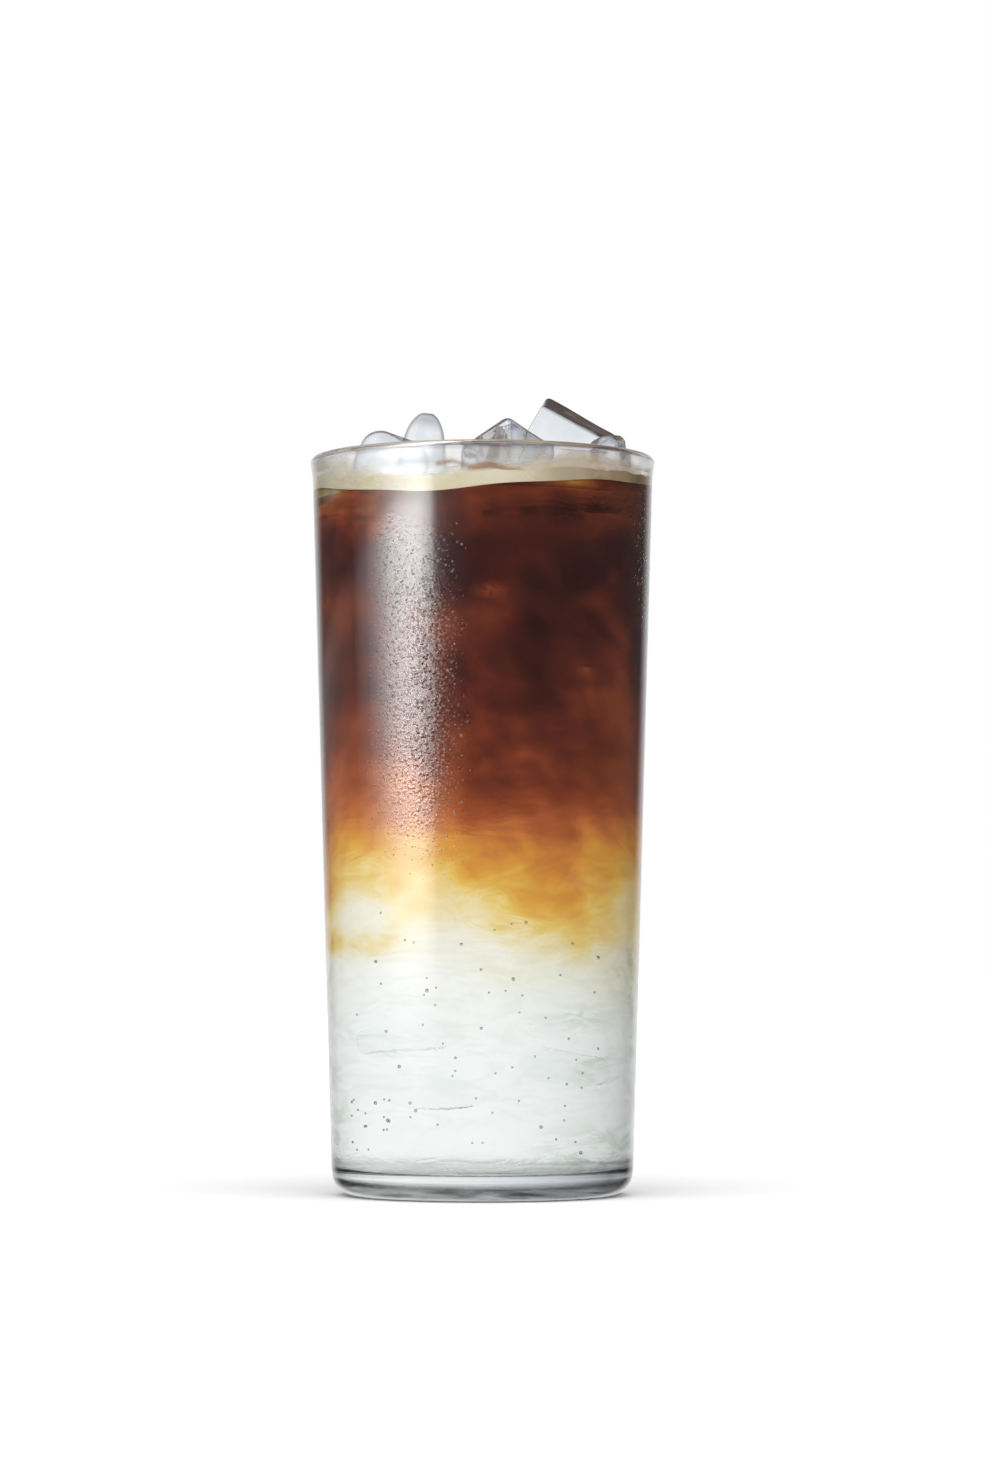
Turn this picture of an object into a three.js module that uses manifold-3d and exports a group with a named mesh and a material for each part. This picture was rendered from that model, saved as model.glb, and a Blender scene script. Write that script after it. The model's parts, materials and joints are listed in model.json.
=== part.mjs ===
// A coffee tonic: coffee floated on tonic water over ice, with a pale crema, in a tall tumbler.
// Millimetres, +Z up, origin on the tumbler's axis at the surface it stands on, -Y towards the viewer.
import * as THREE from "three";
import { RoundedBoxGeometry } from "three/addons/geometries/RoundedBoxGeometry.js";
import { mergeVertices } from "three/addons/utils/BufferGeometryUtils.js";
import Module from "manifold-3d";

// Tumbler
const HEIGHT = 157; // foot to lip
const FOOT_RADIUS = 31.9; // outside, produced down to the foot
const NECK_RADIUS = 36.35; // outside, just under the bead of the lip
const NECK_HEIGHT = 152.6;
const BEAD = 0.45; // how far the lip's bead stands proud of the wall
const WALL_TOP = 2.0; // wall thickness at the neck
const WALL_FOOT = 2.5; // wall thickness at the foot
const HEEL = 4.7; // radius of the round edge at the foot
const FLOOR = 5.4; // height of the inside floor
const FLOOR_FILLET = 2.8; // round inside corner
const STAND_WIDTH = 4.2; // flat ring that the tumbler stands on
const PUSH_UP = 2.1; // how far the middle of the underside is hollowed
const SIDES = 56; // facets round the axis

// Layers of the drink
const GAP = 0.3; // clearance between a layer and its neighbours
const COFFEE_FLOOR = 63; // mean height where the coffee meets the tonic water
const COFFEE_TOP = 147.4; // coffee at the front wall
const CREMA_DEPTH = 2.8;
const CREMA_THINS = 0.9; // how much thinner the crema is at the right
const SIDE_RISE = 2.8; // how much higher coffee and crema stand at the left and right walls
const SWAY = 1.1; // how far the surface dips left of the middle and rises right of it

// Ice that stands out of the drink: size, middle, turn about X, Y and Z in degrees, melted corner radius
// and, for a cube that has melted slimmer upwards, the share of its half width that it loses at the top.
// The middles follow from where each tip shows over the lip.
const ICE = [
  { name: "ice_left", size: [15, 14, 18], at: [-20.3, -7.0, 152.2], turn: [4, 20, 0], melt: 4.4 },
  { name: "ice_dome", size: [11.6, 15, 24], at: [-13.3, 9.2, 155.7], turn: [3, 7, 0], melt: 4.6, taper: 0.45 },
  { name: "ice_front", size: [15, 15, 16], at: [5.3, -14.2, 152.2], turn: [-35, 0, 45], melt: 2.0 },
  { name: "ice_tall", size: [17.5, 17, 22], at: [15.9, 7.2, 156.5], turn: [15, 28, -5], melt: 1.1 },
  { name: "ice_shard", size: [6.2, 8, 17], at: [27.3, -9.4, 152.0], turn: [0, -7, 20], melt: 1.8 },
  { name: "ice_back", size: [14, 11, 18], at: [-2.0, 25.0, 150.6], turn: [6, -8, 6], melt: 2.2 },
];
const ICE_FACETS = 2; // steps across each melted corner
const ICE_WAVE = 0.035; // unevenness of a melted face, as a share of the cube

const LOOK = {
  glass: { color: 0xeef3f1, roughness: 0.03, metalness: 0, transparent: true, opacity: 0.3 },
  tonic: { color: 0xe9eeea, roughness: 0.05, metalness: 0, transparent: true, opacity: 0.5 },
  coffee: { color: 0x5a2418, roughness: 0.1, metalness: 0 },
  crema: { color: 0xe9dfc0, roughness: 0.7, metalness: 0 },
  ice: { color: 0xdfe6ea, roughness: 0.08, metalness: 0, transparent: true, opacity: 0.6 },
};

const wasm = await Module();
wasm.setup();

const radians = THREE.MathUtils.degToRad;

// Outside and inside radius of the tapered wall at a height
const outerRadius = (z) => FOOT_RADIUS + ((NECK_RADIUS - FOOT_RADIUS) * z) / NECK_HEIGHT;
const innerRadius = (z) => outerRadius(z) - THREE.MathUtils.lerp(WALL_FOOT, WALL_TOP, z / NECK_HEIGHT);

// Points along a round stretch of a profile, from one angle to another in degrees
function arc(radius, height, size, from, to, steps) {
  return Array.from({ length: steps + 1 }, (_, i) => {
    const angle = radians(THREE.MathUtils.lerp(from, to, i / steps));
    return new THREE.Vector2(radius + size * Math.cos(angle), height + size * Math.sin(angle));
  });
}

// A profile of radius and height turned about the Z axis
function turned(profile) {
  return new THREE.LatheGeometry(profile, SIDES).rotateX(Math.PI / 2);
}

// The inside of the tumbler, from the axis out over the floor and round the fillet, held in by a clearance
function insideFloor(clearance) {
  const size = FLOOR_FILLET - clearance;
  const middle = FLOOR + FLOOR_FILLET;
  const radius = innerRadius(middle) - FLOOR_FILLET;
  return [new THREE.Vector2(0, FLOOR + clearance), ...arc(radius, middle, size, -90, 0, 4)];
}

function tumbler() {
  const standOuter = outerRadius(0) - HEEL;
  const standInner = standOuter - STAND_WIDTH;
  const hollow = [1, 0.75, 0.5, 0.25].map(
    (share) => new THREE.Vector2(standInner * (1 - share), PUSH_UP * (1 - (1 - share) ** 2)),
  );
  const lip = (NECK_RADIUS - innerRadius(NECK_HEIGHT) + BEAD) / 2; // half the lip's thickness
  const lipRadius = innerRadius(NECK_HEIGHT) + lip;
  const profile = [
    ...hollow,
    new THREE.Vector2(standInner, 0),
    ...arc(standOuter, HEEL, HEEL, -90, 0, 5),
    ...[0.25, 0.5, 0.75, 1].map((share) => new THREE.Vector2(outerRadius(share * NECK_HEIGHT), share * NECK_HEIGHT)),
    ...arc(lipRadius, HEIGHT - lip, lip, 0, 180, 6),
    ...[1, 0.75, 0.5, 0.25].map((share) => new THREE.Vector2(innerRadius(share * NECK_HEIGHT), share * NECK_HEIGHT)),
    ...insideFloor(0).reverse(),
  ];
  return turned(profile);
}

// Where the coffee hangs down into the tonic water: lower on the right, with slow billows
function billow(x, y) {
  const lean = -0.24 * x;
  const rolls = 1.6 * Math.sin(0.11 * x + 0.05 * y + 0.6) + 1.4 * Math.cos(0.13 * y - 0.06 * x);
  return lean + rolls;
}

// The coffee's surface stands higher at the left and right, where ice holds the crema up
function swell(x, y) {
  const side = (x / innerRadius(COFFEE_TOP)) ** 2;
  return SIDE_RISE * side + SWAY * Math.sin(0.083 * x) + 0.3 * Math.sin(0.21 * x + 0.9) * Math.cos(0.17 * y);
}

// The crema's own surface: the swell with the froth heaped unevenly on it, less of it at the right
function froth(x, y) {
  const thin = CREMA_THINS * THREE.MathUtils.clamp((x - 12) / 14, 0, 1);
  return swell(x, y) - thin + 0.35 * Math.sin(0.31 * x - 0.8) * Math.sin(0.27 * y + 0.5);
}

// Moves the points of a turned layer that lie at one height up by a wave, keeping them inside the taper
function ripple(geometry, level, wave) {
  const points = geometry.getAttribute("position");
  for (let i = 0; i < points.count; i++) {
    const [x, y, z] = [points.getX(i), points.getY(i), points.getZ(i)];
    if (Math.abs(z - level) > GAP / 10) continue;
    const raised = z + wave(x, y);
    const share = innerRadius(raised) / innerRadius(z);
    points.setXYZ(i, x * share, y * share, raised);
  }
  return geometry;
}

const RINGS = [1, 0.75, 0.5, 0.25, 0];

// A level face of the drink as rings of points, from the wall in to the axis
function level(z) {
  return RINGS.map((share) => new THREE.Vector2((innerRadius(z) - GAP) * share, z));
}

function tonicWater() {
  const top = COFFEE_FLOOR - 1.5 * GAP;
  const wall = [0.35, 0.7].map((share) => {
    const z = top * share;
    return new THREE.Vector2(innerRadius(z) - GAP, z);
  });
  return ripple(turned([...insideFloor(GAP), ...wall, ...level(top)]), top, billow);
}

// A layer between two level faces, each with its own wave
function layer(bottom, bottomWave, top, topWave) {
  const body = turned([...level(bottom).reverse(), ...level(top)]);
  return ripple(ripple(body, bottom, bottomWave), top, topWave);
}

// One melted cube, grown by a clearance on every side
function iceCube({ size, at, turn, melt, taper = 0 }, clearance) {
  const grown = size.map((side) => side + 2 * clearance);
  const cube = new RoundedBoxGeometry(...grown, ICE_FACETS, melt + clearance);
  const points = cube.getAttribute("position");
  const [across, deep, tall] = grown;
  for (let i = 0; i < points.count; i++) {
    const [x, y, z] = [points.getX(i) / across, points.getY(i) / deep, points.getZ(i) / tall];
    const wave = 1 + ICE_WAVE * Math.sin(5 * x + at[0]) * Math.cos(4 * y + at[1]) * Math.cos(4 * z);
    points.setXYZ(i, x * across * wave * (1 - 2 * taper * z), y * deep * wave, z * tall * wave);
  }
  const place = new THREE.Matrix4().makeRotationFromEuler(new THREE.Euler(...turn.map(radians)));
  return cube.applyMatrix4(place.setPosition(...at));
}

// A closed geometry as a solid that can be cut
function solidOf(geometry) {
  const bare = new THREE.BufferGeometry().setAttribute("position", geometry.getAttribute("position"));
  bare.setIndex(geometry.index);
  const merged = mergeVertices(bare, 1e-3);
  const vertProperties = new Float32Array(merged.getAttribute("position").array);
  const triVerts = new Uint32Array(merged.index.array);
  return new wasm.Manifold(new wasm.Mesh({ numProp: 3, vertProperties, triVerts }));
}

// The largest piece of a solid as a geometry, so that no scrap that a cut left loose stays
function geometryOf(solid) {
  const [largest] = solid.decompose().sort((a, b) => b.volume() - a.volume());
  const { vertProperties, triVerts } = largest.getMesh();
  const geometry = new THREE.BufferGeometry();
  geometry.setAttribute("position", new THREE.BufferAttribute(vertProperties, 3));
  geometry.setIndex(new THREE.BufferAttribute(triVerts, 1));
  return geometry.toNonIndexed();
}

// A layer with a pocket for every cube that stands in it
function cutRoundIce(geometry) {
  const pockets = ICE.map((ice) => solidOf(iceCube(ice, GAP)));
  return geometryOf(pockets.reduce((left, pocket) => left.subtract(pocket), solidOf(geometry)));
}

function piece(name, geometry, look) {
  geometry.computeVertexNormals();
  const mesh = new THREE.Mesh(geometry, new THREE.MeshStandardMaterial(look));
  mesh.name = name;
  return mesh;
}

const drink = new THREE.Group();
const coffee = layer(COFFEE_FLOOR, billow, COFFEE_TOP, swell);
const crema = layer(COFFEE_TOP + GAP, swell, COFFEE_TOP + CREMA_DEPTH, froth);
drink.add(
  piece("tumbler", tumbler(), LOOK.glass),
  piece("tonic_water", tonicWater(), LOOK.tonic),
  piece("coffee", cutRoundIce(coffee), LOOK.coffee),
  piece("crema", cutRoundIce(crema), LOOK.crema),
  ...ICE.map((ice) => piece(ice.name, iceCube(ice, 0), LOOK.ice)),
);

export default drink;
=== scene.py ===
import json
import math

import bmesh
import bpy
import numpy as np
from mathutils import Euler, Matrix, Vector

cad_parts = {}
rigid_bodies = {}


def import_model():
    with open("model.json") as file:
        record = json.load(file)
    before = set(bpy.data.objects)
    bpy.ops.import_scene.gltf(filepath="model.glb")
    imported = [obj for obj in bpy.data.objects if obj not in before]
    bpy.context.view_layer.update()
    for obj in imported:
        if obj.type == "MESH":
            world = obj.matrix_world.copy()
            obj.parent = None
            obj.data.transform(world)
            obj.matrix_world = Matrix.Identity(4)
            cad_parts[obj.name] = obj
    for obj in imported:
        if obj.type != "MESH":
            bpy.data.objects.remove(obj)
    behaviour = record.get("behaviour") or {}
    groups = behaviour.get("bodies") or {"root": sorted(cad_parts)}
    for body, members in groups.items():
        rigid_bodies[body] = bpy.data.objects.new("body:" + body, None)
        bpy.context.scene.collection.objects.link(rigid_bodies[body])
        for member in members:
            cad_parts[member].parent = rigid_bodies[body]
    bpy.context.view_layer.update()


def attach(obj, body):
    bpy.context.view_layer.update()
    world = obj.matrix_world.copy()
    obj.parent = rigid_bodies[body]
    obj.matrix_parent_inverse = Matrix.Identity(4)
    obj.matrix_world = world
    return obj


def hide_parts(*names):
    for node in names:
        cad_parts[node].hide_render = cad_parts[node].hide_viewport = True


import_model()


# The tumbler: clear soda glass pressed in a mould, with a thick base hollowed underneath, a round
# heel, a wall that opens slightly upwards and a fire-polished bead at the lip. Its outside is misted.
mm = 0.001
HEIGHT = 157 * mm
NECK_HEIGHT = 152.6 * mm
FOOT_RADIUS = 31.9 * mm
NECK_RADIUS = 36.35 * mm
BEAD = 0.45 * mm
WALL_FOOT = 2.5 * mm
WALL_TOP = 2.0 * mm
HEEL = 4.7 * mm
FLOOR = 5.4 * mm
FLOOR_FILLET = 2.8 * mm
STAND_WIDTH = 4.2 * mm
PUSH_UP = 2.1 * mm
GLASS_SIDES = 192


def wall_outside(z):
    """The radius of the wall's outside at a height."""
    return FOOT_RADIUS + (NECK_RADIUS - FOOT_RADIUS) * z / NECK_HEIGHT


def wall_inside(z):
    """The radius of the wall's inside at a height."""
    return wall_outside(z) - (WALL_FOOT + (WALL_TOP - WALL_FOOT) * z / NECK_HEIGHT)


def round_stretch(radius, height, size, start, end, steps):
    """Radii and heights along an arc of a profile, from one angle to another in degrees."""
    angles = np.radians(np.linspace(start, end, steps + 1))
    return [(radius + size * math.cos(a), height + size * math.sin(a)) for a in angles]


def inside_floor(reach):
    """From the axis out over the inside floor and up its fillet, pushed into the glass by a reach."""
    size = FLOOR_FILLET + reach
    middle = FLOOR + FLOOR_FILLET
    radius = wall_inside(middle) - FLOOR_FILLET
    floor = [(radius * share, FLOOR - reach) for share in np.linspace(0, 0.93, 12)]
    return floor + round_stretch(radius, middle, size, -90, 0, 10)


def rings_of(profile, sides):
    """Rings of points about the upright axis, one for each radius and height of a profile."""
    angles = np.linspace(0, 2 * math.pi, sides, endpoint=False)
    return [(r * math.cos(a), r * math.sin(a), z) for r, z in profile for a in angles]


def band(low, high, sides):
    """The faces between two rings whose points start at these numbers."""
    return [(low + i, low + (i + 1) % sides, high + (i + 1) % sides, high + i) for i in range(sides)]


def piece_of(name, points, faces):
    """A new object in the scene with these points and faces."""
    mesh = bpy.data.meshes.new(name)
    mesh.from_pydata(points, [], faces)
    piece = bpy.data.objects.new(name, mesh)
    bpy.context.scene.collection.objects.link(piece)
    return piece


def turned(name, profile, sides):
    """A closed solid turned about the upright axis from a profile that starts and ends on it."""
    points = [(0, 0, profile[0][1]), *rings_of(profile[1:-1], sides), (0, 0, profile[-1][1])]
    last = len(points) - 1
    faces = [(0, 1 + (i + 1) % sides, 1 + i) for i in range(sides)]
    for k in range(len(profile) - 3):
        faces += band(1 + k * sides, 1 + (k + 1) * sides, sides)
    top = last - sides
    faces += [(top + i, top + (i + 1) % sides, last) for i in range(sides)]
    piece = piece_of(name, points, faces)
    piece.data.shade_smooth()
    return piece


stand_outer = FOOT_RADIUS - HEEL
stand_inner = stand_outer - STAND_WIDTH
lip = (NECK_RADIUS - wall_inside(NECK_HEIGHT) + BEAD) / 2
lip_radius = wall_inside(NECK_HEIGHT) + lip
outside_rows = np.linspace(HEEL + 0.8 * mm, NECK_HEIGHT, 60)
inside_rows = np.linspace(NECK_HEIGHT, FLOOR + FLOOR_FILLET + 1 * mm, 60)
tumbler_profile = [(stand_inner * s, PUSH_UP * (1 - s * s)) for s in np.linspace(0, 1, 18)]
tumbler_profile += round_stretch(stand_outer, HEEL, HEEL, -90, 0, 14)
tumbler_profile += [(wall_outside(z), z) for z in outside_rows]
tumbler_profile += round_stretch(lip_radius, HEIGHT - lip, lip, 0, 180, 20)
tumbler_profile += [(wall_inside(z), z) for z in inside_rows]
tumbler_profile += inside_floor(0)[::-1]
tumbler = turned("tumbler_glass", tumbler_profile, GLASS_SIDES)


def points_of(piece):
    """The points of a piece, one to a row."""
    flat = np.empty(len(piece.data.vertices) * 3)
    piece.data.vertices.foreach_get("co", flat)
    return flat.reshape(-1, 3)


def reshape(piece, change):
    """Moves every point of a piece to where a function of their x, y and z puts it."""
    points = np.stack(change(*points_of(piece).T), 1)
    piece.data.vertices.foreach_set("co", points.ravel())
    piece.data.update()
    return points


def mark(piece, name, values):
    """Gives each point of a piece a value that its material or its beads read by name."""
    piece.data.attributes.new(name, "FLOAT", "POINT").data.foreach_set("value", values)


def uneven_hollow(x, y, z):
    """Makes the hollow under the base a little uneven round the axis."""
    under = (np.hypot(x, y) < stand_inner * 0.99) & (z < PUSH_UP * 1.01)
    turn = np.arctan2(y, x)
    wave = 1 + 0.35 * np.sin(3 * turn + 0.4) + 0.2 * np.sin(5 * turn + 2)
    return x, y, np.where(under, z * wave, z)


def soft_band(value, low, high, edge):
    """1 between two limits and 0 outside them, with edges of this width."""
    return np.clip((value - low) / edge + 0.5, 0, 1) * np.clip((high - value) / edge + 0.5, 0, 1)


def misted(x, y, z):
    """How thickly fine water has condensed at a place on the wall, from 0 to 1, in mm."""
    thick = soft_band(x, -14.5, -7.5, 4) * (y < 0) * soft_band(z, 80, 127, 14)
    thin = 0.38 * soft_band(x, -21, -5.5, 6) * (y < 0) * soft_band(z, 76, 134, 20)
    right_side = 0.2 * soft_band(x, 33, 40, 2) * (y < 0) * soft_band(z, 122, 148, 12)
    behind = 0.2 * soft_band(x, -10, 16, 10) * (y > 0) * soft_band(z, 84, 132, 20)
    return np.maximum(np.maximum(thick, thin), np.maximum(right_side, behind))


points = reshape(tumbler, uneven_hollow)
on_outside = np.hypot(points[:, 0], points[:, 1]) > wall_outside(points[:, 2]) - 0.4 * mm
mark(tumbler, "wet", misted(*points.T / mm) * on_outside)


def new_material(name, **inputs):
    """A material with its shader's inputs set, together with its node tree and that shader."""
    material = bpy.data.materials.new(name)
    material.use_nodes = True
    tree = material.node_tree
    shader = tree.nodes["Principled BSDF"]
    for key, value in inputs.items():
        shader.inputs[key.replace("_", " ")].default_value = value
    return material, tree, shader


def feed(tree, socket, value):
    """Sets an input to a value, or links it where the value is another node's output."""
    if isinstance(value, bpy.types.NodeSocket):
        tree.links.new(value, socket)
    else:
        socket.default_value = value


def add(tree, kind, at=None, **settings):
    """A new node with its properties set and its inputs fed, by name or, where names repeat, by place."""
    node = tree.nodes.new(kind)
    for key, value in settings.items():
        if hasattr(node, key):
            setattr(node, key, value)
        else:
            feed(tree, node.inputs[key.replace("_", " ")], value)
    for place, value in (at or {}).items():
        feed(tree, node.inputs[place], value)
    return node


glass, tree, shader = new_material("clear_glass", Transmission_Weight=1, IOR=1.5)
place = add(tree, "ShaderNodeTexCoord")
height = add(tree, "ShaderNodeSeparateXYZ", Vector=place.outputs["Object"])
toward_lip = add(tree, "ShaderNodeMapRange", interpolation_type="SMOOTHSTEP", From_Min=HEIGHT - 2.2 * mm,
                 From_Max=HEIGHT - 0.9 * mm, Value=height.outputs["Z"])
smear = add(tree, "ShaderNodeTexNoise", Scale=60, Detail=3, Vector=place.outputs["Object"])
clear = add(tree, "ShaderNodeMix", data_type="RGBA", A=(0.975, 0.985, 0.985, 1), B=(0.995, 1.0, 0.998, 1),
            Factor=smear.outputs["Fac"])
# The thick base is tinted grey-blue, and the tint is painted darker towards the right: painted shade.
in_base = add(tree, "ShaderNodeMapRange", interpolation_type="SMOOTHSTEP", From_Min=FLOOR + 2.5 * mm,
              From_Max=FLOOR - 1.5 * mm, Value=height.outputs["Z"])
shade_rightward = add(tree, "ShaderNodeMapRange", From_Min=-15 * mm, From_Max=28 * mm, Value=height.outputs["X"])
painted_base_shade = add(tree, "ShaderNodeMix", data_type="RGBA", A=(0.92, 0.94, 0.95, 1), B=(0.55, 0.58, 0.62, 1),
               Factor=shade_rightward.outputs["Result"])
thick = add(tree, "ShaderNodeMix", data_type="RGBA", B=painted_base_shade.outputs["Result"],
            Factor=in_base.outputs["Result"], A=clear.outputs["Result"])
# Painted shade at the lip: the glass is tinted lilac-grey from about 2 mm under the top upwards, so the
# bead shows darker.
lip_painted_shade = add(tree, "ShaderNodeMix", data_type="RGBA", B=(0.60, 0.57, 0.61, 1),
               Factor=toward_lip.outputs["Result"], A=thick.outputs["Result"])
tree.links.new(lip_painted_shade.outputs["Result"], shader.inputs["Base Color"])
smeared = add(tree, "ShaderNodeMapRange", From_Min=0.45, From_Max=0.75, To_Min=0.0, To_Max=0.05,
              Value=smear.outputs["Fac"])
above_foam = add(tree, "ShaderNodeMapRange", interpolation_type="SMOOTHSTEP", From_Min=148.5 * mm,
                 From_Max=150.5 * mm, To_Max=0.14, Value=height.outputs["Z"])
dulled = add(tree, "ShaderNodeMath", operation="MULTIPLY_ADD",
             at={0: above_foam.outputs["Result"], 1: smear.outputs["Fac"], 2: smeared.outputs["Result"]})
tree.links.new(dulled.outputs["Value"], shader.inputs["Roughness"])
condensed = add(tree, "ShaderNodeAttribute", attribute_name="wet")
drops = add(tree, "ShaderNodeTexVoronoi", feature="SMOOTH_F1", Scale=1250, Smoothness=0.25,
            Vector=place.outputs["Object"])
domes = add(tree, "ShaderNodeMapRange", interpolation_type="SMOOTHSTEP", From_Min=0.6, From_Max=0.0,
            Value=drops.outputs["Distance"])
beaded = add(tree, "ShaderNodeBump", Distance=0.03 * mm, Strength=condensed.outputs["Fac"],
             Height=domes.outputs["Result"])
tree.links.new(beaded.outputs["Normal"], shader.inputs["Normal"])
tumbler.data.materials.append(glass)
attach(tumbler, "root")
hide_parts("tumbler")


# Ice: cubes from a machine, clear, with edges and corners melted round and faces melted uneven.
# Six of them stand out of the drink, jammed between the others and the wall.
ICE_WAVE = 0.035
ICE_STEPS = 26
WATERLINE = 149.6 * mm


def melted_cube(size, at, turn, melt, taper=0.0, shrink=0.0):
    """Points and faces of one cube in mm: a box with round edges, made uneven, turned and placed."""
    sides = np.array(size, float) - 2 * shrink
    melt = melt - shrink
    grid = np.linspace(-0.5, 0.5, ICE_STEPS + 1)
    u, v = (a.ravel() for a in np.meshgrid(grid, grid, indexing="ij"))
    half = np.full_like(u, 0.5)
    walls = [(half, u, v), (-half, v, u), (v, half, u), (u, -half, v), (u, v, half), (v, u, -half)]
    points = np.concatenate([np.stack(w, 1) for w in walls]) * sides
    core = np.clip(points, -(sides / 2 - melt), sides / 2 - melt)
    out = points - core
    points = core + out / np.linalg.norm(out, axis=1, keepdims=True) * melt
    x, y, z = (points / sides).T
    wave = 1 + ICE_WAVE * np.sin(5 * x + at[0]) * np.cos(4 * y + at[1]) * np.cos(4 * z)
    points *= wave[:, None]
    points[:, 0] *= 1 - 2 * taper * z
    turned_by = np.array(Euler(np.radians(turn), "ZYX").to_matrix())
    points = points @ turned_by.T + np.array(at)
    row = ICE_STEPS + 1
    one = [(i * row + j, (i + 1) * row + j, (i + 1) * row + j + 1, i * row + j + 1)
           for i in range(ICE_STEPS) for j in range(ICE_STEPS)]
    faces = [tuple(k * row * row + c for c in face) for k in range(6) for face in one]
    return points, faces


def mesh_of(name, parts):
    """One object from several sets of points and faces in mm, with doubled points merged."""
    points, faces = [], []
    for part_points, part_faces in parts:
        start = len(points)
        points.extend(map(tuple, part_points * mm))
        faces.extend(tuple(start + c for c in face) for face in part_faces)
    piece = piece_of(name, points, faces)
    work = bmesh.new()
    work.from_mesh(piece.data)
    bmesh.ops.remove_doubles(work, verts=work.verts, dist=0.002 * mm)
    bmesh.ops.recalc_face_normals(work, faces=work.faces)
    work.to_mesh(piece.data)
    work.free()
    piece.data.shade_smooth()
    return piece


def ramp(tree, fac, stops):
    """A colour ramp with these positions and colours, fed by an output."""
    node = add(tree, "ShaderNodeValToRGB", Fac=fac)
    elements = node.color_ramp.elements
    while len(elements) < len(stops):
        elements.new(0.5)
    for element, (position, colour) in zip(elements, stops):
        element.position = position
        element.color = (*colour, 1)
    return node


standing = {
    "ice_left": ((15, 14, 18), (-20.3, -7.0, 152.2), (4, 20, 0), 4.4),
    "ice_dome": ((11.6, 15, 24), (-13.3, 9.2, 155.7), (3, 7, 0), 4.6, 0.45),
    "ice_front": ((15, 15, 16), (5.3, -14.2, 152.2), (-35, 0, 45), 2.0),
    "ice_tall": ((17.5, 17, 22), (15.9, 7.2, 156.5), (15, 28, -5), 1.1),
    "ice_shard": ((6.2, 8, 17), (27.3, -9.4, 152.0), (0, -7, 20), 1.8),
    "ice_back": ((14, 11, 18), (-2.0, 25.0, 150.6), (6, -8, 6), 2.2),
}
ice, tree, shader = new_material("wet_ice", Transmission_Weight=1, IOR=1.10)
place = add(tree, "ShaderNodeTexCoord")
cloud = add(tree, "ShaderNodeTexNoise", Scale=95, Detail=3, Vector=place.outputs["Object"])
milky = ramp(tree, cloud.outputs["Fac"], [(0.35, (0.70, 0.74, 0.79)), (0.62, (0.92, 0.94, 0.97))])
# Painted shade: where the surface turns edge-on to the view the ice is painted dark grey-brown, for the
# dark rims that ice shows.
facing_for_rim_shade = add(tree, "ShaderNodeLayerWeight", Blend=0.5)
edge = add(tree, "ShaderNodeMapRange", interpolation_type="SMOOTHSTEP", From_Min=0.36, From_Max=0.8,
           To_Max=0.95, Value=facing_for_rim_shade.outputs["Facing"])
painted_rim_shade = add(tree, "ShaderNodeMix", data_type="RGBA", B=(0.13, 0.105, 0.10, 1),
            Factor=edge.outputs["Result"], A=milky.outputs["Color"])
dimples = add(tree, "ShaderNodeTexNoise", Scale=190, Detail=2, Vector=place.outputs["Object"])
melted = add(tree, "ShaderNodeBump", Strength=0.3, Distance=1.2 * mm, Height=dimples.outputs["Fac"])
tree.links.new(melted.outputs["Normal"], shader.inputs["Normal"])
# This value darkens the ice towards coffee brown: a real film on the tops and splashes near the coffee, and
# painted shade along the edges.
stain_and_edge_shade = add(tree, "ShaderNodeAttribute", attribute_name="stain_and_edge_shade")
patchy = add(tree, "ShaderNodeMath", operation="MULTIPLY_ADD",
             at={0: dimples.outputs["Fac"], 1: 0.9, 2: 0.6})
film_and_edge_shade = add(tree, "ShaderNodeMath", operation="MULTIPLY", use_clamp=True,
                  at={0: stain_and_edge_shade.outputs["Fac"], 1: patchy.outputs["Value"]})
stained_and_edge_shaded = add(tree, "ShaderNodeMix", data_type="RGBA", B=(0.010, 0.0045, 0.0035, 1),
              Factor=film_and_edge_shade.outputs["Value"], A=painted_rim_shade.outputs["Result"])
tree.links.new(stained_and_edge_shaded.outputs["Result"], shader.inputs["Base Color"])
frosted = add(tree, "ShaderNodeMapRange", To_Min=0.02, To_Max=0.5, Value=film_and_edge_shade.outputs["Value"])
tree.links.new(frosted.outputs["Result"], shader.inputs["Roughness"])

drowned, tree, shader = new_material("ice_under_coffee", Transmission_Weight=1, IOR=1.005, Roughness=0.02)
place = add(tree, "ShaderNodeTexCoord")
dimples = add(tree, "ShaderNodeTexNoise", Scale=150, Detail=2, Vector=place.outputs["Object"])
cloudy = add(tree, "ShaderNodeMix", data_type="RGBA", A=(0.94, 0.96, 0.955, 1), B=(0.99, 0.995, 0.99, 1),
             Factor=dimples.outputs["Fac"])
tree.links.new(cloudy.outputs["Result"], shader.inputs["Base Color"])
melted = add(tree, "ShaderNodeBump", Strength=0.12, Distance=1 * mm, Height=dimples.outputs["Fac"])
tree.links.new(melted.outputs["Normal"], shader.inputs["Normal"])


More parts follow.
